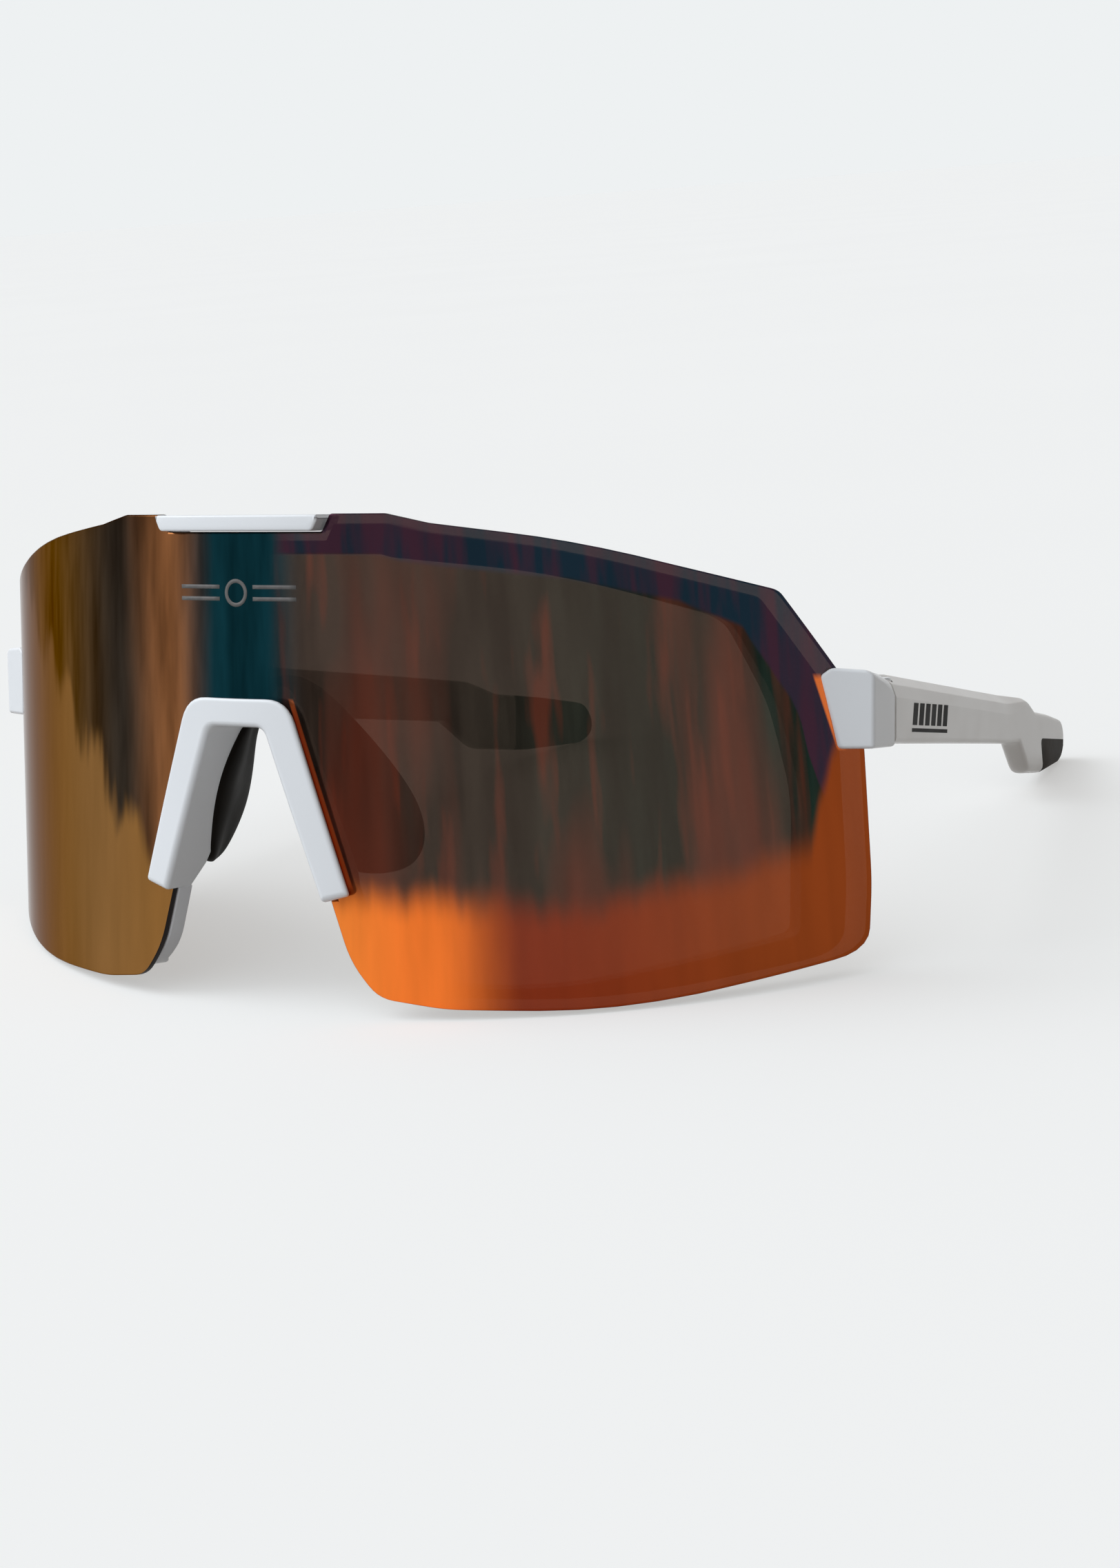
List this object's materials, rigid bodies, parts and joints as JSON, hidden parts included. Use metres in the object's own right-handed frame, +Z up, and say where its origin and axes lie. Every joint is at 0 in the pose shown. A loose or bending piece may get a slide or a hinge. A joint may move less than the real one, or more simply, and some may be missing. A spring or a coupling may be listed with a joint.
{
  "type": "sport sunglasses",
  "caption": "Wraparound sport sunglasses: a mirrored one-piece shield lens on a full rim, an A-shaped nose bridge with a rubber saddle, and folding temples with rubber ends.",
  "frame": {"origin": "floor level under the middle of the glasses as they stand on the lens's lower edge and the temple tips, temples open", "axes": "+X to the picture's right when the lens is seen from the front (the wearer's left), +Y from the lens back to the temple tips, +Z up"},
  "size_m": [0.1412, 0.1637, 0.0625],
  "materials": {
    "rim_plastic": "satin white",
    "front_plastic": "gloss white",
    "temple_plastic": "satin white",
    "lens_mirror": "polycarbonate, orange-red mirror on a smoke tint",
    "pad_rubber": "matt",
    "tip_rubber": "matt",
    "screw_steel": "plain",
    "insert_brass": "plain"
  },
  "bodies": {
    "front": {"frame_rim": "rim_plastic", "lens": "lens_mirror", "brow_clip": "front_plastic", "nose_bridge": "front_plastic", "nose_pad": "pad_rubber", "end_block_left": "front_plastic", "end_block_right": "front_plastic", "hinge_screw_left": "screw_steel", "hinge_screw_right": "screw_steel", "hinge_insert_left": "insert_brass", "hinge_insert_right": "insert_brass"},
    "left_temple": {"temple_left": "temple_plastic", "temple_tip_left": "tip_rubber"},
    "right_temple": {"temple_right": "temple_plastic", "temple_tip_right": "tip_rubber"}
  },
  "joints": [
    {"name": "left_temple_fold", "type": "hinge", "parent": "front", "child": "left_temple", "pos_m": [-0.06613, -0.03311, 0.03142], "axis": [0, -0.1271, -0.9919], "range_deg": [0, 82]},
    {"name": "right_temple_fold", "type": "hinge", "parent": "front", "child": "right_temple", "pos_m": [0.06613, -0.03311, 0.03142], "axis": [0, 0.1271, 0.9919], "range_deg": [0, 76]}
  ]
}
